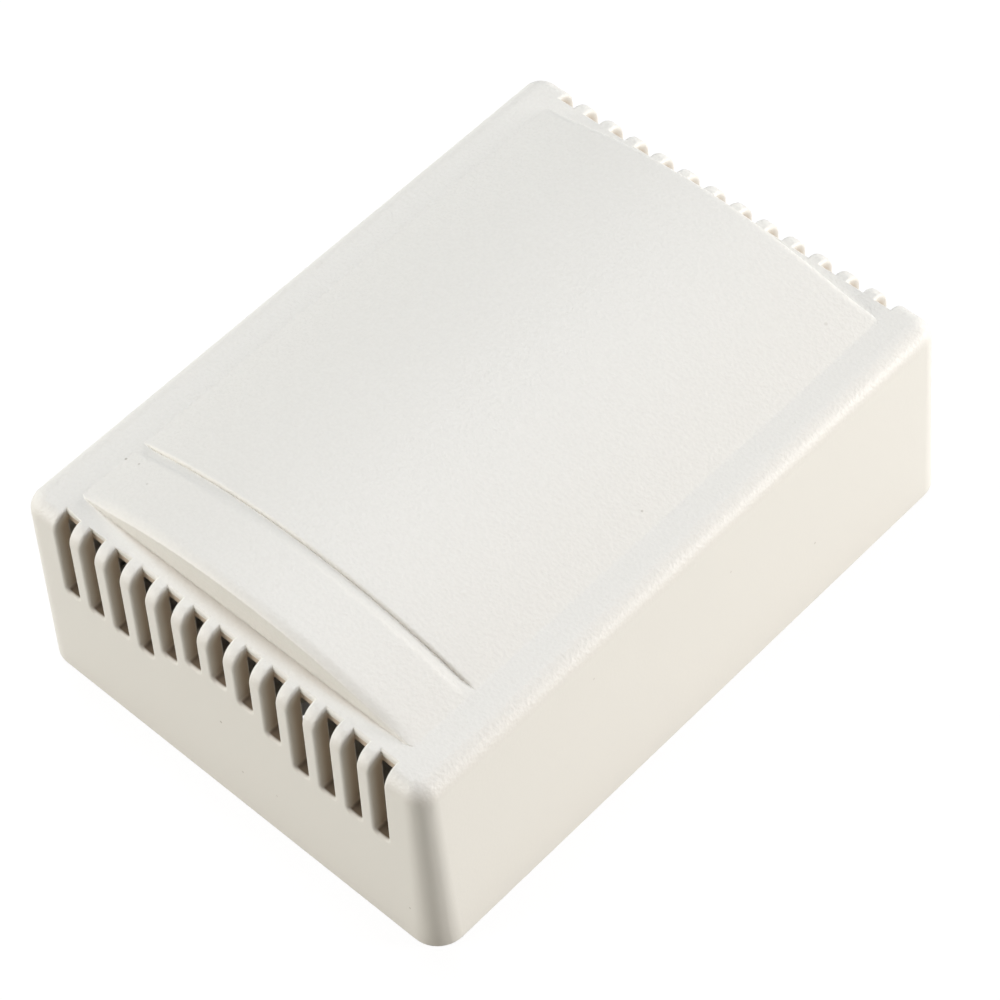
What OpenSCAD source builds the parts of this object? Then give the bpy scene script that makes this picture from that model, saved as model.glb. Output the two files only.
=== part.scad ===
// Vented junction box: a crowned cover that clips over a shallow base tray.
// Sizes are in millimetres. +Z is up, the open rim stands on z = 0, and the end
// of the cover with the raised pad faces -Y.

/* [Case] */
// Width of the cover at its open rim
case_w = 60; // [54:0.5:80]
// Length of the cover at its open rim
case_l = 82; // [74:0.5:110]
// Height of the flat rails on top of the cover
rail_h = 27.3; // [24:0.1:40]
// Lean of every wall from upright, in degrees
draft_deg = 2; // [0.5:0.25:3]
// Thickness of the cover's walls
wall_t = 2; // [1.4:0.1:2.2]
// Thickness of the cover's top
top_t = 1.5; // [1.2:0.1:2.2]
// Radius of the upright corners at the top of the walls
corner_r = 2.6; // [2.5:0.1:5]
// Rounding of the outer edge round the top
edge_r = 2.4; // [1:0.1:2.4]

/* [Crowned panel] */
// Flat rail between the rounded side edge and the panel
rail_w = 2.8; // [2:0.1:7]
// Flat strip in front of the raised pad
front_lip = 1.9; // [1.5:0.1:5]
// Flat strip behind the panel
back_lip = 1.9; // [1.5:0.1:5]
// Length of the raised pad
pad_l = 7.7; // [5:0.1:14]
// Width of the groove between pad and panel
groove_w = 1.4; // [0.5:0.1:4]
// Depth of that groove below the crown
groove_d = 0.5; // [0.3:0.05:0.8]
// Rise of the crown's middle above the rails
crown_rise = 4; // [2:0.1:5]
// Rounding of the crown's front and back ends
end_edge_r = 1; // [0.3:0.1:1.4]

/* [Vents] */
// Distance from one vent slot to the next
slot_pitch = 3.8; // [3.2:0.1:6]
// Width of a vent slot
slot_w = 2; // [1.4:0.1:2.6]
// Reach of the long slots below the rails
slot_len = 12; // [6:0.1:14]
// Rounding of the slots' lower corners
slot_r = 0.6; // [0.2:0.05:0.65]
// Least flat wall beyond the outer slots
vent_margin = 2.6; // [2:0.1:8]

/* [Cable entries] */
// Radius of the thinned round in each end wall that can be cut out for a cable
entry_r = 10; // [6:0.5:12]
// Height of its centre
entry_z = 7.2; // [6:0.1:9]
// Wall left there
entry_t = 1.2; // [0.8:0.1:1.3]
// Solid wall between the round and the slots above it
entry_clear = 3; // [1:0.5:4]

/* [Base] */
// Gap between the base and the cover's walls
fit_gap = 0.3; // [0.25:0.05:0.5]
// Thickness of the base plate
plate_t = 2.5; // [1.8:0.1:4]
// Thickness of the tray's upstanding wall
tray_wall_t = 1.2; // [1:0.1:2]
// Height of that wall above the plate
tray_wall_h = 4; // [3:0.1:8]
// Rounding that leads the cover over that wall
lead_in_r = 0.4; // [0.2:0.1:0.6]
// Corner radius of the room inside that wall
room_corner_r = 1; // [0.8:0.1:3]
// Cable opening in the plate, across the case
opening_w = 20; // [8:0.5:26]
// Cable opening in the plate, along the case
opening_l = 12; // [6:0.5:26]
// Corner radius of that opening
opening_r = 1.5; // [0.5:0.1:2.5]
// Wall-screw holes, from the end of the case to the hole's centre
screw_inset = 11; // [8:0.5:14]
// Diameter of the wall-screw holes
screw_d = 4.2; // [3:0.1:5]

/* [Board posts] */
// From the side of the case to a post's centre
post_inset_x = 10; // [8:0.5:13]
// From the end of the case to a post's centre
post_inset_y = 13; // [9:0.5:20]
// Diameter of a post
post_d = 6; // [4.5:0.1:7]
// Height of a post above the plate
post_h = 6; // [4:0.5:10]
// Diameter of the pilot hole in a post
pilot_d = 2.2; // [1.6:0.1:3]
// Depth of the pilot hole
pilot_depth = 5; // [3:0.5:6]

/* [Snap fit] */
// Distance between the two snap beads of a long side
snap_spacing = 50; // [36:1:60]
// Length of a snap bead
bead_l = 8; // [4:0.5:12]
// Height of a bead proud of the tray wall
bead_proud = 0.22; // [0.1:0.02:0.24]
// Half height of a bead where it meets the tray wall
bead_half_h = 0.8; // [0.5:0.1:1.2]
// Depth of the catch in the cover that faces a bead
catch_d = 0.35; // [0.2:0.05:0.6]
// Room round a bead in its catch
catch_gap = 0.3; // [0.1:0.05:0.5]
// Distance between the two stop ribs of a long side
rib_spacing = 30; // [12:1:36]
// Width of a stop rib
rib_w = 1.6; // [1:0.1:2.5]
// Reach of a stop rib over the top of the tray wall
rib_seat = 1; // [0.5:0.1:1.5]

/* [Hidden] */
$fn = 96;

ivory = [0.93, 0.92, 0.89];
warm_ivory = [0.88, 0.87, 0.83];

// Spare length that carries a cut past the face it opens
over = 1;
// Derived places are kept to a micrometre, so that faces that meet share their numbers
function snap(value) = round(value * 1000) / 1000;

// A wall leans in by this much for each millimetre of height
lean = tan(draft_deg);

// Outer corner: distance of its axis from the rim
corner_reach = snap(corner_r + lean * (rail_h - edge_r));
// Flat part of the top inside the rounded edge
edge_run = snap(lean * (rail_h - edge_r)) + edge_r;
flat_x = case_w / 2 - edge_run;
flat_y = case_l / 2 - edge_run;

// Cavity of the cover, measured at the rim
cavity_h = rail_h - top_t;
cavity_x = case_w / 2 - wall_t;
cavity_y = case_l / 2 - wall_t;
cavity_reach = corner_reach - wall_t;
// A rounded edge keeps within this share of the corner radius that it turns through
edge_share = 0.8;
cavity_edge_r = snap(edge_share * (cavity_reach - lean * cavity_h));

// Crown: a cylinder along Y that meets the rails at the panel's sides
panel_x = flat_x - rail_w;
crown_r = snap((panel_x ^ 2 + crown_rise ^ 2) / (2 * crown_rise));
crown_z = rail_h + crown_rise - crown_r;
pad_front = front_lip - flat_y;
pad_back = pad_front + pad_l;
panel_front = pad_back + groove_w;
panel_back = flat_y - back_lip;

// Vents: as many slots as fit between the margins
slot_count = floor(2 * (flat_x - vent_margin - slot_w / 2) / slot_pitch) + 1;
slot_floor = rail_h - slot_len;
arch_r = entry_r + entry_clear;
// The slots end just inside the wall's inner face
slot_bite = 0.1;
slot_end = snap(cavity_y - lean * cavity_h - slot_bite);

// Base tray, measured at the rim
tray_x = cavity_x - fit_gap;
tray_y = cavity_y - fit_gap;
tray_reach = cavity_reach - fit_gap;
tray_top = plate_t + tray_wall_h;
tray_edge_r = snap(min(lead_in_r, edge_share * (tray_reach - lean * tray_top)));
room_reach = snap(room_corner_r + lean * (tray_top + over));
screw_y = case_l / 2 - screw_inset;
post_x = case_w / 2 - post_inset_x;
post_y = case_l / 2 - post_inset_y;
bead_z = plate_t + tray_wall_h / 2;

// Lowest height at which a slot centred at x stays above the arch
function slot_bottom(x) =
    abs(x) < arch_r ? max(slot_floor, snap(entry_z + sqrt(arch_r ^ 2 - x ^ 2))) : slot_floor;

// Quarter of a disc, turned by right angles from the one between +X and +Y
module quarter_disc(radius, turn) {
    rotate(turn)
        intersection() {
            circle(radius);
            square(radius + over);
        }
}

// Half section of a block with a leaning side and a rounded top edge
module half_section(half, height, round_r, below) {
    arc_z = height - round_r;
    arc_x = half - snap(lean * arc_z) - round_r;
    polygon([
        [0, -below],
        [half + snap(lean * below), -below],
        [arc_x + round_r, arc_z],
        [arc_x, arc_z],
        [arc_x, height],
        [0, height]
    ]);
    translate([arc_x, arc_z])
        quarter_disc(round_r, 0);
}

// Bar of that section, centred on the origin, along Y
module leaning_bar(length, half, height, round_r, below) {
    rotate([90, 0, 0])
        linear_extrude(length, center = true)
            for (side = [0, 1])
                mirror([side, 0])
                    half_section(half, height, round_r, below);
}

// Block with leaning sides, rounded top edges and rounded upright corners
module leaning_block(half_x, half_y, height, reach, round_r, below = 0) {
    corner_x = half_x - reach;
    corner_y = half_y - reach;
    leaning_bar(2 * corner_y, half_x, height, round_r, below);
    rotate(90)
        leaning_bar(2 * corner_x, half_y, height, round_r, below);
    for (place = [[1, 1, 0], [-1, 1, 90], [-1, -1, 180], [1, -1, 270]])
        translate([place.x * corner_x, place.y * corner_y, 0])
            rotate(place.z)
                rotate_extrude(angle = 90)
                    half_section(reach, height, round_r, below);
}

// Inside form of the cover, grown outwards and upwards
module cavity_form(grow = 0) {
    leaning_block(
        cavity_x + grow, cavity_y + grow, cavity_h + grow,
        cavity_reach + grow, cavity_edge_r, over
    );
}

// Rectangle with rounded corners
module rounded_plan(width, length, round_r) {
    inner_x = width / 2 - round_r;
    inner_y = length / 2 - round_r;
    square([width, 2 * inner_y], center = true);
    square([2 * inner_x, length], center = true);
    for (place = [[1, 1, 0], [-1, 1, 90], [-1, -1, 180], [1, -1, 270]])
        translate([place.x * inner_x, place.y * inner_y])
            quarter_disc(round_r, place.z);
}

// Half section of the crown along Y, from its axis outwards: pad, groove and panel
module crown_section() {
    arc_x = crown_r - end_edge_r;
    front_arc = pad_front + end_edge_r;
    back_arc = panel_back - end_edge_r;
    polygon([
        [0, pad_front],
        [arc_x, pad_front],
        [arc_x, front_arc],
        [crown_r, front_arc],
        [crown_r, pad_back],
        [crown_r - groove_d, pad_back],
        [crown_r - groove_d, panel_front],
        [crown_r, panel_front],
        [crown_r, back_arc],
        [arc_x, back_arc],
        [arc_x, panel_back],
        [0, panel_back]
    ]);
    translate([arc_x, front_arc])
        quarter_disc(end_edge_r, 270);
    translate([arc_x, back_arc])
        quarter_disc(end_edge_r, 0);
}

// Crown of the top: that section turned about its axis, down into the top plate
module crown() {
    dip = top_t / 2;
    half = panel_x + dip;
    intersection() {
        translate([0, 0, crown_z])
            rotate([-90, 0, 0])
                rotate_extrude()
                    crown_section();
        translate([-half, -case_l / 2, rail_h - dip])
            cube([2 * half, case_l, dip + crown_rise + over]);
    }
}

// Hollow under the crown that keeps the top an even thickness
module crown_pocket() {
    front = pad_front + top_t;
    back = panel_back - top_t;
    intersection() {
        translate([0, 0, crown_z])
            rotate([90, 0, 0])
                cylinder(r = crown_r - top_t, h = 2 * case_l, center = true);
        translate([-flat_x, front, cavity_h - over])
            cube([2 * flat_x, back - front, crown_rise + 2 * over]);
    }
}

// Outline of one vent slot, rounded at its lower corners
module slot_outline(bottom) {
    half = slot_w / 2;
    top = rail_h + over;
    translate([-half, bottom + slot_r])
        square([slot_w, top - bottom - slot_r]);
    translate([slot_r - half, bottom])
        square([slot_w - 2 * slot_r, top - bottom]);
    translate([slot_r - half, bottom + slot_r])
        quarter_disc(slot_r, 180);
    translate([half - slot_r, bottom + slot_r])
        quarter_disc(slot_r, 270);
}

// Row of vent slots through the end wall at +Y
module slot_row() {
    for (i = [0 : slot_count - 1]) {
        x = (i - (slot_count - 1) / 2) * slot_pitch;
        translate([x, case_l / 2 + over, 0])
            rotate([90, 0, 0])
                linear_extrude(case_l / 2 + over - slot_end)
                    slot_outline(slot_bottom(x));
    }
}

// Thinned rounds inside both end walls
module cable_rounds() {
    intersection() {
        cavity_form(wall_t - entry_t);
        rotate([90, 0, 0])
            linear_extrude(2 * case_l, center = true)
                translate([0, entry_z])
                    circle(entry_r);
    }
}

// Ribs inside the long walls that stop the cover on top of the tray wall
module stop_ribs() {
    rib_x = tray_x - lean * tray_top - rib_seat;
    intersection() {
        cavity_form(wall_t / 2);
        for (side = [-1, 1])
            for (y = [-rib_spacing / 2, rib_spacing / 2])
                translate([side * (rib_x + case_w / 2), y, tray_top + rail_h / 2])
                    cube([case_w, rib_w, rail_h], center = true);
    }
}

// Wedge along Y, at both snap places of both long sides, standing on a leaning face
module snap_wedges(face_x, proud, half_h, length, root) {
    for (turn = [0, 180])
        rotate(turn)
            for (y = [-snap_spacing / 2, snap_spacing / 2])
                translate([face_x - lean * bead_z, y, bead_z])
                    rotate([90, 0, 0])
                        linear_extrude(length, center = true)
                            rotate(draft_deg)
                                polygon([
                                    [-root, -half_h],
                                    [0, -half_h],
                                    [proud, 0],
                                    [0, half_h],
                                    [-root, half_h]
                                ]);
}

// One-piece moulded cover: walls, rails, crowned pad and panel, vents and snap catches
module cover() {
    color(ivory)
        difference() {
            union() {
                difference() {
                    union() {
                        leaning_block(
                            case_w / 2, case_l / 2, rail_h, corner_reach, edge_r
                        );
                        crown();
                    }
                    cavity_form();
                    crown_pocket();
                }
                stop_ribs();
            }
            for (turn = [0, 180])
                rotate(turn)
                    slot_row();
            cable_rounds();
            snap_wedges(
                cavity_x, catch_d, bead_half_h + catch_gap,
                bead_l + 2 * catch_gap, fit_gap
            );
        }
}

// Plate with its upstanding wall, open at both cable entries
module tray() {
    difference() {
        leaning_block(tray_x, tray_y, tray_top, tray_reach, tray_edge_r);
        leaning_block(
            tray_x - tray_wall_t, tray_y - tray_wall_t, tray_top + over,
            room_reach, tray_edge_r, -plate_t
        );
        translate([-entry_r, -case_l / 2, plate_t])
            cube([2 * entry_r, case_l, tray_wall_h + over]);
    }
}

// Round bars at the four board posts
module at_posts(diameter, bottom, length) {
    for (x = [-post_x, post_x])
        for (y = [-post_y, post_y])
            translate([x, y, bottom])
                cylinder(d = diameter, h = length);
}

// Wall-screw holes and the cable opening
module plate_holes() {
    for (y = [-screw_y, screw_y])
        translate([0, y, -over])
            cylinder(d = screw_d, h = plate_t + 2 * over);
    translate([0, 0, -over])
        linear_extrude(plate_t + 2 * over)
            rounded_plan(opening_w, opening_l, opening_r);
}

// One-piece moulded base: tray, board posts, wall-screw holes and snap beads
module base() {
    post_top = plate_t + post_h;
    color(warm_ivory)
        difference() {
            union() {
                tray();
                at_posts(post_d, plate_t / 2, post_top - plate_t / 2);
                snap_wedges(tray_x, bead_proud, bead_half_h, bead_l, tray_wall_t / 2);
            }
            at_posts(pilot_d, post_top - pilot_depth, pilot_depth + over);
            plate_holes();
        }
}

cover();
base();
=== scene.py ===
"""Looks of the vented junction box: its ivory cover and base, on a plain white floor."""
import math

import bmesh
import bpy
from mathutils import Matrix, Vector


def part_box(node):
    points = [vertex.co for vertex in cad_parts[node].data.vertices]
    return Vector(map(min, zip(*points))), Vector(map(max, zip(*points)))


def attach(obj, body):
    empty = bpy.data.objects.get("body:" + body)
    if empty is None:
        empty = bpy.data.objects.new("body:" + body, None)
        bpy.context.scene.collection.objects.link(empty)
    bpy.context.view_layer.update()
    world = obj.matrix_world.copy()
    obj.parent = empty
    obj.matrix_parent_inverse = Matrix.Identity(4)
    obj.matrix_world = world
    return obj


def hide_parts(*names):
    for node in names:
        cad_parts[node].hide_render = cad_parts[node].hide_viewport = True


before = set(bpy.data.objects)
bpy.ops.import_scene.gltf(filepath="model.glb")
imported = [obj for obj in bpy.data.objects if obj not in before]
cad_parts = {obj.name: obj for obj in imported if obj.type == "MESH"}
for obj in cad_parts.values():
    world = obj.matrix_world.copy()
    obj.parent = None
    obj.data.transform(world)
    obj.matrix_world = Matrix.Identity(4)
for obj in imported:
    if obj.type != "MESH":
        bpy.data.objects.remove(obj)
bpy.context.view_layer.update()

# Sizes of the cover, as in the part's source
MM = 0.001
DRAFT = math.radians(2)
RAIL_Z = 27.3 * MM
EDGE_R = 2.4 * MM
RAIL_W = 2.8 * MM
FRONT_LIP = 1.9 * MM
BACK_LIP = 1.9 * MM
PAD_L = 7.7 * MM
GROOVE_W = 1.4 * MM
GROOVE_D = 0.5 * MM
END_EDGE_R = 1 * MM
WALL_T = 2 * MM
SLOT_FLOOR = 15.3 * MM
SLOT_END = 38 * MM
SLOT_ROW_X = 24.5 * MM

# Places that follow from them and from the frame
COVER_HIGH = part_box("cover")[1]
HALF_W = COVER_HIGH.x
HALF_L = COVER_HIGH.y
CROWN_RISE = COVER_HIGH.z - RAIL_Z
EDGE_Z = RAIL_Z - EDGE_R
LEAN = math.tan(DRAFT)
FLAT_X = HALF_W - LEAN * EDGE_Z - EDGE_R
FLAT_Y = HALF_L - LEAN * EDGE_Z - EDGE_R
PANEL_X = FLAT_X - RAIL_W
CROWN_R = (PANEL_X ** 2 + CROWN_RISE ** 2) / (2 * CROWN_RISE)
PAD_FRONT = FRONT_LIP - FLAT_Y
PANEL_FRONT = PAD_FRONT + PAD_L + GROOVE_W
PANEL_BACK = FLAT_Y - BACK_LIP
CASE_MIDDLE = Vector((0, 0, RAIL_Z / 2))

# Softness of the moulded edges
VENT_EDGE_R = 0.42 * MM
RIM_EDGE_R = 0.12 * MM
BASE_EDGE_R = 0.2 * MM
CREASE = 0.2 * MM
END_CORNER_R = 1.4 * MM

# Half lengths of the top that is laid anew and of its sections
TOP_Y = FLAT_Y - 0.4 * MM
SECTION_Y = TOP_Y - 0.15 * MM

# Tops of the base's walls and posts lie above this height
WALL_TOPS_Z = 6 * MM

# Mesh limits
WELD = 0.001 * MM
FLAT_ANGLE = 0.005
SHARP_ANGLE = math.radians(35)
CORNER_ANGLE = math.radians(40)

QUARTER_TURN = math.pi / 2


def cad_copy(node):
    """Merged copy of a CAD node, with each flat face whole."""
    bm = bmesh.new()
    bm.from_mesh(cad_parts[node].data)
    bmesh.ops.remove_doubles(bm, verts=bm.verts[:], dist=WELD)
    bmesh.ops.dissolve_limit(
        bm, angle_limit=FLAT_ANGLE, use_dissolve_boundaries=False,
        verts=bm.verts[:], edges=bm.edges[:], delimit=set(),
    )
    return bm


def corner_edges(bm):
    """Edges that stand out as corners."""
    return [e for e in bm.edges if e.is_manifold and e.is_convex and e.calc_face_angle() > CORNER_ANGLE]


def round_edges(bm, edges, radius, segments):
    """Rounds edges off."""
    bmesh.ops.bevel(
        bm, geom=edges, offset=radius, offset_type="OFFSET", affect="EDGES",
        segments=segments, profile=0.5, material=-1, clamp_overlap=False,
    )


def finished_piece(bm, name, body, node):
    """Object of a dressed node, smooth but for its sharp corners, that rides on its body."""
    for face in bm.faces:
        face.smooth = True
    for edge in bm.edges:
        edge.smooth = not edge.is_manifold or edge.calc_face_angle() < SHARP_ANGLE
    mesh = bpy.data.meshes.new(name)
    bm.to_mesh(mesh)
    bm.free()
    if "custom_normal" in mesh.attributes:
        mesh.attributes.remove(mesh.attributes["custom_normal"])
    piece = bpy.data.objects.new(name, mesh)
    bpy.context.scene.collection.objects.link(piece)
    evened = piece.modifiers.new("even_shading", "WEIGHTED_NORMAL")
    evened.keep_sharp = True
    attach(piece, body)
    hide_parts(node)
    return piece


def depth_in_end_wall(point):
    """How far a point lies inside the outer face of the nearer end wall and its rounded top edge."""
    if point.z < EDGE_Z:
        return HALF_L - LEAN * point.z - abs(point.y)
    return EDGE_R - math.hypot(max(abs(point.y) - FLAT_Y, 0), point.z - EDGE_Z)


def vent_edges(bm):
    """Outer edges of the vent slots."""
    on_face = 0.02 * MM
    inner_reach = FLAT_Y - 0.3 * MM
    lowest = 5 * MM

    def outside(vert):
        return (
            abs(depth_in_end_wall(vert.co)) < on_face
            and abs(vert.co.y) > inner_reach
            and abs(vert.co.x) < SLOT_ROW_X
            and vert.co.z > lowest
        )

    return [e for e in corner_edges(bm) if all(outside(v) for v in e.verts)]


def level_lips(bm):
    """Brings the vents' rounded edges down to the level of the rails."""
    lip_start = FLAT_Y - 1 * MM
    for vert in bm.verts:
        if abs(vert.co.y) > lip_start:
            vert.co.z = min(vert.co.z, RAIL_Z)


def rim_edges(bm):
    """Outer bottom edge of the walls."""
    near = 0.05 * MM
    end_reach = 3.5 * MM
    middle_reach = 1.2 * MM

    def in_rim(point, reach):
        return abs(point.x) > HALF_W - reach or abs(point.y) > HALF_L - reach

    def outer(edge):
        first, second = (v.co for v in edge.verts)
        low = all(abs(p.z) < near and in_rim(p, end_reach) for p in (first, second))
        return low and in_rim((first + second) / 2, middle_reach)

    return [e for e in corner_edges(bm) if outer(e)]


def straighten_fins(bm):
    """Lays the facets of the fins' rounded tops straight across, where they run askew."""
    near = 0.01 * MM
    least_width = 1 * MM

    def across(first, second):
        return abs(first.co.x - second.co.x) > least_width

    def facing(first, second):
        return across(first, second) and (first.co.yz - second.co.yz).length < near

    def on_rounded_top(vert):
        return abs(vert.co.x) < SLOT_ROW_X and abs(vert.co.y) > FLAT_Y - near and vert.co.z > EDGE_Z - near

    def askew(edge):
        first, second = edge.verts
        return across(first, second) and not facing(first, second) and all(map(on_rounded_top, edge.verts))

    edges = [e for e in bm.edges if askew(e)]
    corners = {v for e in edges for v in e.verts}
    bmesh.ops.dissolve_edges(bm, edges=edges, use_verts=False, use_face_split=False)
    for first in corners:
        for second in corners:
            shared = set(first.link_faces) & set(second.link_faces)
            joined = set(first.link_edges) & set(second.link_edges)
            if first.co.x < second.co.x and facing(first, second) and shared and not joined:
                bmesh.utils.face_split(shared.pop(), first, second)


def join_end_strips(bm):
    """Joins the flat top to the first facets of its rounded ends, so the vents' edges have room."""
    near = 0.01 * MM
    side_margin = 0.15 * MM
    nearly_flat = 0.97

    def at_end(edge):
        along = edge.verts[1].co - edge.verts[0].co
        return abs(along.x) > abs(along.y) and all(
            abs(v.co.y) > FLAT_Y - near and abs(v.co.x) < FLAT_X - side_margin and v.co.z > EDGE_Z
            for v in edge.verts
        )

    line = [
        e for e in bm.edges
        if e.is_manifold and at_end(e) and all(f.normal.z > nearly_flat for f in e.link_faces)
    ]
    bmesh.ops.dissolve_edges(bm, edges=line, use_verts=False, use_face_split=False)


def remove_top(bm):
    """Takes the top off the cover, from rail to rail and up to the vents' lips."""
    near = 0.005 * MM
    flat = 0.999

    def lip(face):
        return max(v.co.z for v in face.verts) > RAIL_Z - near and face.normal.z > flat

    def inner(face):
        return all(v.co.z > RAIL_Z - near and abs(v.co.y) < TOP_Y + near for v in face.verts)

    for side in (-1, 1):
        lips = [f for f in bm.faces if lip(f)]
        parts = {part for f in lips for part in (f, *f.edges, *f.verts)}
        bmesh.ops.bisect_plane(
            bm, geom=list(parts), dist=near, plane_co=(0, side * TOP_Y, 0), plane_no=(0, 1, 0),
        )
    start = max((f for f in bm.faces if inner(f)), key=lambda f: abs(f.calc_center_median().x))
    found = {start}
    front = [start]
    while front:
        face = front.pop()
        for edge in face.edges:
            for other in edge.link_faces:
                if other not in found and inner(other):
                    found.add(other)
                    front.append(other)
    bmesh.ops.delete(bm, geom=list(found), context="FACES")
    bmesh.ops.triangulate(bm, faces=[f for f in bm.faces if lip(f)])


def crown_height(x):
    """Height of the crown above the rails, with a small crease where it runs out."""
    reach = abs(x)
    if reach >= PANEL_X + CREASE:
        return 0.0
    start = min(reach, PANEL_X - CREASE)
    height = math.sqrt(CROWN_R ** 2 - start ** 2) + CROWN_RISE - CROWN_R
    if reach <= PANEL_X - CREASE:
        return height
    return height * ((PANEL_X + CREASE - reach) / (2 * CREASE)) ** 2


def corner_sweep(x):
    """How far the ends of the pad's front and the panel's back curve in from their straight part."""
    start = PANEL_X - 0.65 * END_CORNER_R
    longest = 0.75 * END_CORNER_R
    past = min(max(abs(x) - start, 0), longest)
    return END_CORNER_R - math.sqrt(END_CORNER_R ** 2 - past ** 2)


def between(start, end, count):
    """Points spread evenly between two points."""
    return [
        tuple(a + (b - a) * i / (count + 1) for a, b in zip(start, end))
        for i in range(1, count + 1)
    ]


def pad_front(y, crown):
    """Section of the pad's front: fine crevice, wall, small edge and gently rounded nose."""
    crevice_run, crevice_middle = 0.32 * MM, 0.12 * MM
    crevice = min(0.09 * MM, 0.2 * crown)
    foot_dip = 0.2 * crevice
    wall_lean = 0.02 * MM
    edge_run, edge_rise = 0.15 * MM, min(0.15 * MM, 0.3 * crown)
    edge_steps = 5
    nose_run, nose_rise = 1.3 * MM, min(0.45 * MM, 0.36 * crown)
    nose_steps = (0.1, 0.22, 0.35, 0.5, 0.66, 0.83, 1)

    wall_y = y + wall_lean
    nose_y = wall_y + 0.03 * MM
    edge_z = crown - nose_rise
    points = [(y - crevice_run, 0), (y - crevice_middle, -crevice), (y - wall_lean, -foot_dip)]
    points += between(points[-1], (wall_y, edge_z - edge_rise), 2)
    for turn in (QUARTER_TURN * i / edge_steps for i in range(edge_steps)):
        points.append((
            wall_y + edge_run * (1 - math.cos(turn)),
            edge_z - edge_rise * (1 - math.sin(turn)),
        ))
    for t in nose_steps:
        points.append((nose_y + nose_run * t, edge_z + nose_rise * (1 - (1 - t) ** 2)))
    return points


def groove(y, crown):
    """Section of the groove: the pad's soft back, the floor's line and the panel's step."""
    depth = min(GROOVE_D, 0.9 * crown)
    # Place along the case in mm from the panel's step, and share of the depth
    slope = (
        (-1.75, 0), (-1.55, 0.02), (-1.4, 0.08), (-1.25, 0.18), (-1.1, 0.3), (-0.95, 0.38),
        (-0.75, 0.45), (-0.5, 0.55), (-0.25, 0.68), (-0.12, 0.8), (-0.05, 0.97), (0, 1),
        (0.02, 0.75), (0.04, 0.45), (0.08, 0.25), (0.15, 0.1), (0.25, 0.02), (0.36, 0),
    )
    return [(y + at * MM, crown - depth * share) for at, share in slope]


def panel_back(y, crown):
    """Section of the panel's back: rounded edge, wall and fillet."""
    nose = min(END_EDGE_R, 0.6 * crown)
    foot_run, foot_rise = 0.2 * MM, min(0.2 * MM, 0.3 * crown)
    foot_y = y + 0.02 * MM
    steps = 6
    turns = [QUARTER_TURN * i / steps for i in range(steps + 1)]
    points = [(y - END_EDGE_R * (1 - math.sin(t)), crown - nose * (1 - math.cos(t))) for t in turns]
    points += [
        (foot_y + foot_run * (1 - math.cos(t)), foot_rise * (1 - math.sin(t)))
        for t in turns[::2]
    ]
    return points


def top_section(x):
    """Section of the cover's top along the case at x, from the front lip to the back lip."""
    crown = crown_height(x)
    sweep = corner_sweep(x)
    points = [(-SECTION_Y, 0)]
    # Each part, and how many points lead up to it
    parts = (
        (pad_front(PAD_FRONT + sweep, crown), 0),
        (groove(PANEL_FRONT, crown), 4),
        (panel_back(PANEL_BACK - sweep, crown), 14),
        ([(SECTION_Y, 0)], 1),
    )
    for part, fill in parts:
        points += between(points[-1], part[0], fill) + part
    return points


def top_columns():
    """Places across the case of the top's sections: closer together where the crown runs out."""
    # Each stop, and how many sections lead up to it
    stops = (
        (18 * MM, 20), (PANEL_X - 1.6 * MM, 14), (PANEL_X - CREASE, 12),
        (PANEL_X + CREASE, 5), (PANEL_X + 0.5 * MM, 1), (FLAT_X - 0.7 * MM, 1),
    )
    reach = [0.0]
    for stop, fill in stops:
        reach += [x for (x,) in between((reach[-1],), (stop,), fill)] + [stop]
    return [-x for x in reversed(reach[1:])] + reach


def lay_top(bm):
    """Lays the crowned top in the open cover and joins it to the edge of the rails."""
    rim = [e for e in bm.edges if e.is_boundary]
    columns = top_columns()
    sections = [top_section(x) for x in columns]
    across = len(columns) - 1
    along = len(sections[0]) - 1
    grid = bmesh.ops.create_grid(bm, x_segments=across, y_segments=along, size=1)
    for vert in grid["verts"]:
        column = round((vert.co.x + 1) / 2 * across)
        row = round((vert.co.y + 1) / 2 * along)
        y, z = sections[column][row]
        vert.co = (columns[column], y, RAIL_Z + z)
    edges = rim + [e for v in grid["verts"] for e in v.link_edges if e.is_boundary]
    bmesh.ops.triangle_fill(
        bm, use_beauty=True, use_dissolve=False, edges=list(set(edges)), normal=(0, 0, 1),
    )


def make_cover():
    """One-piece cover with its moulded edges."""
    bm = cad_copy("cover")
    straighten_fins(bm)
    join_end_strips(bm)
    round_edges(bm, vent_edges(bm), VENT_EDGE_R, 4)
    level_lips(bm)
    round_edges(bm, rim_edges(bm), RIM_EDGE_R, 2)
    remove_top(bm)
    lay_top(bm)
    return finished_piece(bm, "ivory_cover", "cover", "cover")


def base_edges(bm):
    """Level edges of the base's underside and of the tops of its walls and posts."""
    near = 0.01 * MM

    def level(edge):
        first, second = (v.co.z for v in edge.verts)
        return abs(first - second) < near and (first < near or first > WALL_TOPS_Z)

    return [e for e in corner_edges(bm) if level(e)]


def make_base():
    """One-piece base tray with its moulded edges."""
    bm = cad_copy("base")
    round_edges(bm, base_edges(bm), BASE_EDGE_R, 3)
    return finished_piece(bm, "ivory_base", "base", "base")


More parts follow.
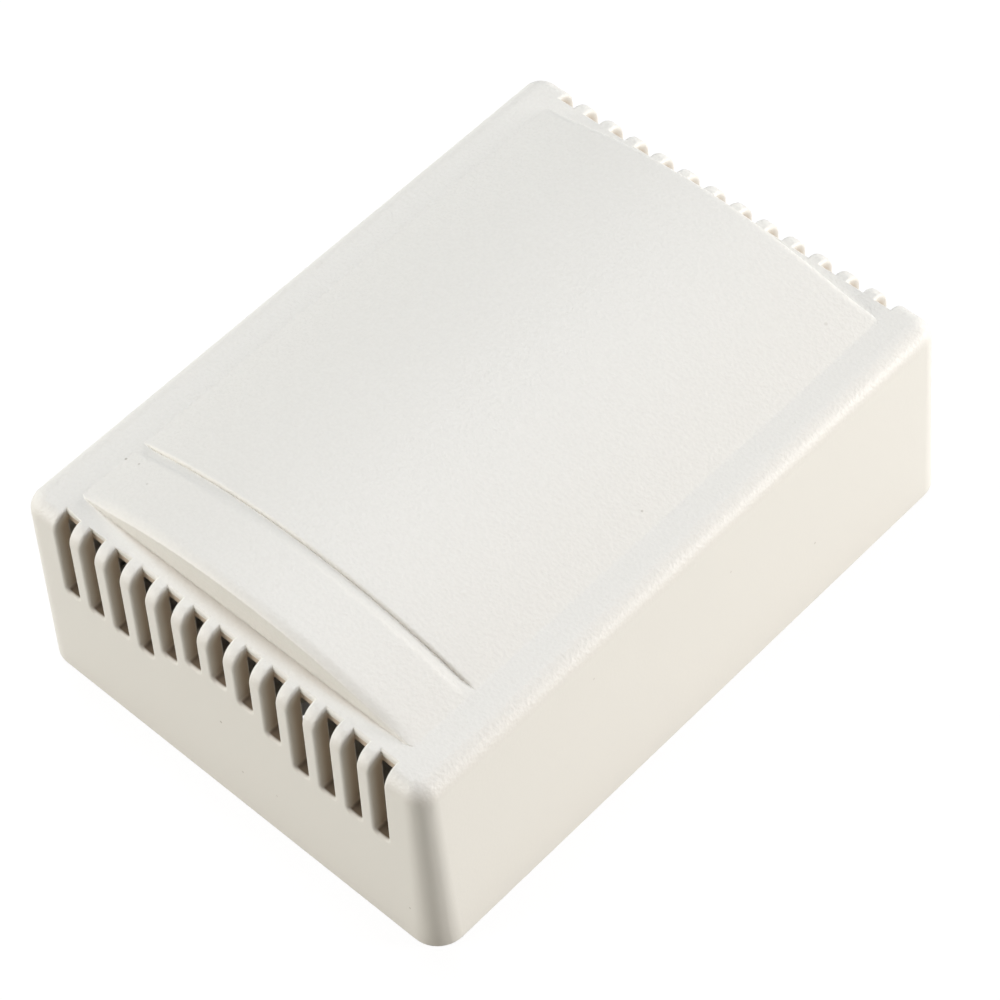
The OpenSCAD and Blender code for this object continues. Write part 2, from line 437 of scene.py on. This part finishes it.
class Wire:
    """Output of a shader node that takes part in sums, or a bare start in a node tree."""

    def __init__(self, tree, socket=None):
        self.tree = tree
        self.socket = socket

    def node(self, kind, settings=None, inputs=None, output=0):
        """Adds a node with its settings and the values or links of its inputs."""
        made = self.tree.nodes.new(kind)
        for name, value in (settings or {}).items():
            setattr(made, name, value)
        for name, value in (inputs or {}).items():
            if isinstance(value, Wire):
                self.tree.links.new(value.socket, made.inputs[name])
            else:
                made.inputs[name].default_value = value
        return Wire(self.tree, made.outputs[output] if made.outputs else None)

    def math(self, operation, first, second):
        """Math node on two values."""
        return self.node("ShaderNodeMath", {"operation": operation}, {0: first, 1: second})

    def __add__(self, other):
        return self.math("ADD", self, other)

    def __radd__(self, other):
        return self.math("ADD", other, self)

    def __sub__(self, other):
        return self.math("SUBTRACT", self, other)

    def __rsub__(self, other):
        return self.math("SUBTRACT", other, self)

    def __mul__(self, other):
        return self.math("MULTIPLY", self, other)

    def __rmul__(self, other):
        return self.math("MULTIPLY", other, self)


def new_material(name):
    """Material with an empty node tree, and a bare start in it."""
    material = bpy.data.materials.new(name)
    material.use_nodes = True
    material.node_tree.nodes.clear()
    return material, Wire(material.node_tree)


def axis(start, vector, name):
    """X, Y or Z of a vector."""
    return start.node("ShaderNodeSeparateXYZ", None, {"Vector": vector}, name)


def noise(start, place, scale, detail):
    """Noise value around 0.5 at an Object place."""
    return start.node(
        "ShaderNodeTexNoise", {"noise_dimensions": "3D"},
        {"Vector": place, "Scale": scale, "Detail": detail, "Roughness": 0.5}, "Fac",
    )


def mix_colour(start, share, first, second):
    """Mix of two colours, by a Mix node's colour sockets."""
    return start.node("ShaderNodeMix", {"data_type": "RGBA"}, {0: share, 6: first, 7: second}, 2)


def smooth_step(start, value, low, high):
    """Share from 0 to 1 as a value passes from low to high."""
    return start.node(
        "ShaderNodeMapRange", {"interpolation_type": "SMOOTHSTEP"},
        {"Value": value, "From Min": low, "From Max": high, "To Min": 0.0, "To Max": 1.0},
    )


# Ivory of the cover and the base, lightest and darkest, the painted shade in the cover's vent slots, and
# the dark specks of dirt on the cover
COVER_LIGHT = (0.83, 0.81, 0.755, 1)
COVER_DARK = (0.80, 0.78, 0.725, 1)
BASE_LIGHT = (0.81, 0.79, 0.735, 1)
BASE_DARK = (0.78, 0.76, 0.705, 1)
# Painted shade: darker, browner colours for the vent slots' walls and floors, where little light reaches
# in
SLOT_SIDE_PAINTED_SHADE = (0.55, 0.46, 0.36, 1)
SLOT_FLOOR_PAINTED_SHADE = (0.2, 0.16, 0.115, 1)
SPECK = (0.30, 0.26, 0.20, 1)

# Finish of the plastic
COVER_ROUGHNESS = 0.45
BASE_ROUGHNESS = 0.5
COVER_GRAIN_D = 0.065 * MM
BASE_GRAIN_D = 0.03 * MM
GRAIN_SCALE = 2600
CLOUD_SCALE = 60
GRAIN_TINT = 2.0
CLOUD_TINT = 0.5
CLOUD_GLOSS = 0.08
WALL_GRAIN = 0.12
PLASTIC_IOR = 1.5
PLASTIC_SHEEN = 0.28

# Depths in the end walls where the painted shade in the slots begins and is full, and where it ends
SIDE_SHADE_DEPTHS = (0.02 * MM, 1.4 * MM)
FLOOR_SHADE_DEPTHS = (0.22 * MM, 0.5 * MM)
LIP_SHADE_DEPTHS = (0.6 * MM, 0.85 * MM)
SHADE_END_DEPTHS = (WALL_T - 0.15 * MM, WALL_T - 0.02 * MM)
# Upward part of a face's direction, from a slot's side to its floor, where the painted shade is darker
UPWARD = (0.3, 0.9)

# Specks on the cover's front, right wall and top: place on the face and radius in mm, and strength
FRONT_SPECKS = (
    (-0.56, 13.28, 0.22, 0.6), (1.85, 6.48, 0.2, 0.4), (6.99, 7.07, 0.2, 0.25), (26.12, 5.62, 0.17, 0.6),
)
RIGHT_SPECKS = ((18.88, 10, 0.2, 0.4), (5.56, 18.38, 0.2, 0.25), (-15.37, 21.79, 0.2, 0.25))
TOP_SPECKS = (
    (-23.86, -29.41, 0.22, 0.6), (-21.91, -29.26, 0.2, 0.4), (-18.77, -30.93, 0.2, 0.25),
    (22.01, 0.28, 0.2, 0.4), (20.57, 31.18, 0.3, 0.2),
)
# Share of a speck's radius that has its full strength
SPECK_CORE = 0.3


def painted_slot_shade(start, place, upward):
    """Share of the painted shade in the vent slots, growing with depth below the outer face of the end
    walls.
    """
    reach = 0.05 * MM
    aside = start.math("ABSOLUTE", axis(start, place, "X"), 0.0)
    along = start.math("ABSOLUTE", axis(start, place, "Y"), 0.0)
    height = axis(start, place, "Z")
    above = height - EDGE_Z
    out = start.math("MAXIMUM", along + LEAN * start.math("MINIMUM", above, 0.0) - FLAT_Y, 0.0)
    up = start.math("MAXIMUM", above, 0.0)
    depth = EDGE_R - start.math("SQRT", out * out + up * up, 0.0)
    on_side = smooth_step(start, depth, *SIDE_SHADE_DEPTHS)
    on_floor = smooth_step(start, depth, *FLOOR_SHADE_DEPTHS)
    on_fin = on_side + (on_floor - on_side) * upward
    under_lip = smooth_step(start, depth, *LIP_SHADE_DEPTHS)
    at_lip = start.math("LESS_THAN", along, SLOT_END + reach)
    inside = on_fin + (under_lip - on_fin) * at_lip
    inside = inside * (1 - smooth_step(start, depth, *SHADE_END_DEPTHS))
    inside = inside * start.math("GREATER_THAN", along, SLOT_END - reach)
    inside = inside * start.math("GREATER_THAN", height, SLOT_FLOOR - 2 * reach)
    return inside * start.math("LESS_THAN", aside, SLOT_ROW_X)


def speck_places():
    """Place on the cover's faces, radius and strength of each speck."""
    for x, z, radius, strength in FRONT_SPECKS:
        yield (x * MM, LEAN * z * MM - HALF_L, z * MM), radius * MM, strength
    for y, z, radius, strength in RIGHT_SPECKS:
        yield (HALF_W - LEAN * z * MM, y * MM, z * MM), radius * MM, strength
    for x, y, radius, strength in TOP_SPECKS:
        yield (x * MM, y * MM, RAIL_Z + crown_height(x * MM)), radius * MM, strength


def specks(start, place):
    """Share of the small dark specks in the moulding."""
    total = None
    for spot, radius, strength in speck_places():
        away = start.node("ShaderNodeVectorMath", {"operation": "DISTANCE"}, {0: place, 1: spot}, "Value")
        mark = (1 - smooth_step(start, away, SPECK_CORE * radius, radius)) * strength
        total = mark if total is None else start.math("MAXIMUM", total, mark)
    return total


def plastic(name, light, dark, roughness, grain_depth, shaded_and_specked):
    """Matt moulded plastic with a grain, finest on the walls; on the cover also painted shade that darkens
    the vent slots, and dark specks.
    """
    material, start = new_material(name)
    place = start.node("ShaderNodeTexCoord", output="Object")
    grain = noise(start, place, GRAIN_SCALE, 1)
    cloud = noise(start, place, CLOUD_SCALE, 3)
    on_top = smooth_step(start, axis(start, place, "Z"), EDGE_Z, RAIL_Z)
    tint = 0.5 + (cloud - 0.5) * CLOUD_TINT + (grain - 0.5) * on_top * GRAIN_TINT
    colour = mix_colour(start, tint, dark, light)
    if shaded_and_specked:
        normal = start.node("ShaderNodeTexCoord", output="Normal")
        upward = smooth_step(start, axis(start, normal, "Z"), *UPWARD)
        # Painted shade in the vent slots: darker deeper in, and darker still on the slots' floors
        painted_shade = mix_colour(start, upward, SLOT_SIDE_PAINTED_SHADE, SLOT_FLOOR_PAINTED_SHADE)
        colour = mix_colour(start, painted_slot_shade(start, place, upward), colour, painted_shade)
        colour = mix_colour(start, specks(start, place), colour, SPECK)
    relief = grain * (WALL_GRAIN + on_top * (1 - WALL_GRAIN))
    bump = start.node(
        "ShaderNodeBump", None, {"Strength": 1.0, "Distance": grain_depth, "Height": relief}, "Normal",
    )
    shader = start.node(
        "ShaderNodeBsdfPrincipled", None,
        {
            "Base Color": colour,
            "Roughness": roughness + (cloud - 0.5) * CLOUD_GLOSS,
            "IOR": PLASTIC_IOR,
            "Specular IOR Level": PLASTIC_SHEEN,
            "Normal": bump,
        },
    )
    start.node("ShaderNodeOutputMaterial", None, {"Surface": shader})
    return material


cover = make_cover()
base = make_base()
cover.data.materials.clear()
cover.data.materials.append(plastic(
    "ivory_cover_plastic", COVER_LIGHT, COVER_DARK, COVER_ROUGHNESS, COVER_GRAIN_D, True,
))
base.data.materials.clear()
base.data.materials.append(plastic(
    "ivory_base_plastic", BASE_LIGHT, BASE_DARK, BASE_ROUGHNESS, BASE_GRAIN_D, False,
))


# Floor and room: size in metres, gap below the case, what they throw on the case and what the eye sees
WHITE = (1, 1, 1, 1)
FLOOR_HALF = 6
FLOOR_GAP = 0.02 * MM
FLOOR_BOUNCE = (0.6, 0.57, 0.5, 1)
FLOOR_SEEN = (0.12, 0.12, 0.12, 1)
FLOOR_GLOW = 0.92
ROOM_LIGHT = 0.005
ROOM_SEEN = 1.0


def seen_white(start):
    """1 for rays that show the ground to the eye, also by way of gloss or glass."""
    kinds = [
        start.node("ShaderNodeLightPath", output=name)
        for name in ("Is Camera Ray", "Is Glossy Ray", "Is Transmission Ray")
    ]
    either = start.math("MAXIMUM", kinds[0], kinds[1])
    return start.math("MAXIMUM", either, kinds[2])


def make_floor():
    """Plain white floor, lit a little by itself to the eye so that only the shadow tints it."""
    bm = bmesh.new()
    below = Matrix.Translation((0, 0, -FLOOR_GAP))
    bmesh.ops.create_grid(bm, x_segments=1, y_segments=1, size=FLOOR_HALF, matrix=below)
    mesh = bpy.data.meshes.new("floor")
    bm.to_mesh(mesh)
    bm.free()
    floor = bpy.data.objects.new("floor", mesh)
    bpy.context.scene.collection.objects.link(floor)
    material, start = new_material("white_floor")
    white = start.node("ShaderNodeBsdfDiffuse", None, {"Color": FLOOR_BOUNCE})
    thin = start.node("ShaderNodeBsdfDiffuse", None, {"Color": FLOOR_SEEN})
    glow = start.node("ShaderNodeEmission", None, {"Color": WHITE, "Strength": FLOOR_GLOW})
    shown = start.node("ShaderNodeAddShader", None, {0: thin, 1: glow})
    both = start.node("ShaderNodeMixShader", None, {0: seen_white(start), 1: white, 2: shown})
    start.node("ShaderNodeOutputMaterial", None, {"Surface": both})
    mesh.materials.append(material)


def make_world():
    """Dim even light all round, white to the eye."""
    world = bpy.data.worlds.new("studio")
    bpy.context.scene.world = world
    world.use_nodes = True
    world.node_tree.nodes.clear()
    start = Wire(world.node_tree)
    dim = start.node("ShaderNodeBackground", None, {"Color": WHITE, "Strength": ROOM_LIGHT})
    bright = start.node("ShaderNodeBackground", None, {"Color": WHITE, "Strength": ROOM_SEEN})
    both = start.node("ShaderNodeMixShader", None, {0: seen_white(start), 1: dim, 2: bright})
    start.node("ShaderNodeOutputWorld", None, {"Surface": both})


# Lamps: azimuth in degrees from +X toward +Y, elevation, side in metres, power in watts and colour
LAMP_DISTANCE = 0.8
LAMPS = {
    "right_lamp": (38.5, 9.5, 0.27, 5.95, (1, 0.985, 0.975)),
    "left_lamp": (236, 16, 0.4, 4.1, (1, 0.985, 0.95)),
    "back_lamp": (141, 66, 0.38, 3.4, (0.81, 0.91, 1)),
    "top_lamp": (0, 90, 0.3, 1.75, (1, 0.87, 0.82)),
}


def make_lamp(name, azimuth, elevation, size, power, colour):
    """Soft square lamp that faces the middle of the case."""
    data = bpy.data.lights.new(name, "AREA")
    data.shape = "SQUARE"
    data.size = size
    data.energy = power
    data.color = colour
    lamp = bpy.data.objects.new(name, data)
    bpy.context.scene.collection.objects.link(lamp)
    around, up = math.radians(azimuth), math.radians(elevation)
    toward = Vector((math.cos(around) * math.cos(up), math.sin(around) * math.cos(up), math.sin(up)))
    lamp.location = CASE_MIDDLE + toward * LAMP_DISTANCE
    lamp.rotation_mode = "QUATERNION"
    lamp.rotation_quaternion = toward.to_track_quat("Z", "Y")


# Camera, fitted to the outline and edges of the case
VIEW_AZIMUTH = math.radians(47.486)
VIEW_ELEVATION = math.radians(52.541)
VIEW_ROLL = math.radians(5.538)
VIEW_DISTANCE = 399.49 * MM
LENS = 133.18
LENS_SHIFT_X = 0.00855
LENS_SHIFT_Y = -0.01406
SENSOR_W = 36
NEAREST_SEEN = 0.01
FARTHEST_SEEN = 20


def make_camera():
    """Camera at the photograph's viewing angle."""
    data = bpy.data.cameras.new("camera")
    data.sensor_width = SENSOR_W
    data.lens = LENS
    data.shift_x = LENS_SHIFT_X
    data.shift_y = LENS_SHIFT_Y
    data.clip_start = NEAREST_SEEN
    data.clip_end = FARTHEST_SEEN
    camera = bpy.data.objects.new("camera", data)
    bpy.context.scene.collection.objects.link(camera)
    ahead = Vector((
        -math.sin(VIEW_AZIMUTH) * math.cos(VIEW_ELEVATION),
        math.cos(VIEW_AZIMUTH) * math.cos(VIEW_ELEVATION),
        -math.sin(VIEW_ELEVATION),
    ))
    place = Matrix.Translation(CASE_MIDDLE - ahead * VIEW_DISTANCE)
    look = ahead.to_track_quat("-Z", "Y").to_matrix().to_4x4()
    camera.matrix_world = place @ look @ Matrix.Rotation(-VIEW_ROLL, 4, "Z")
    bpy.context.scene.camera = camera


make_floor()
make_world()
for lamp_name, setting in LAMPS.items():
    make_lamp(lamp_name, *setting)
make_camera()
bpy.context.scene.view_settings.view_transform = "Standard"
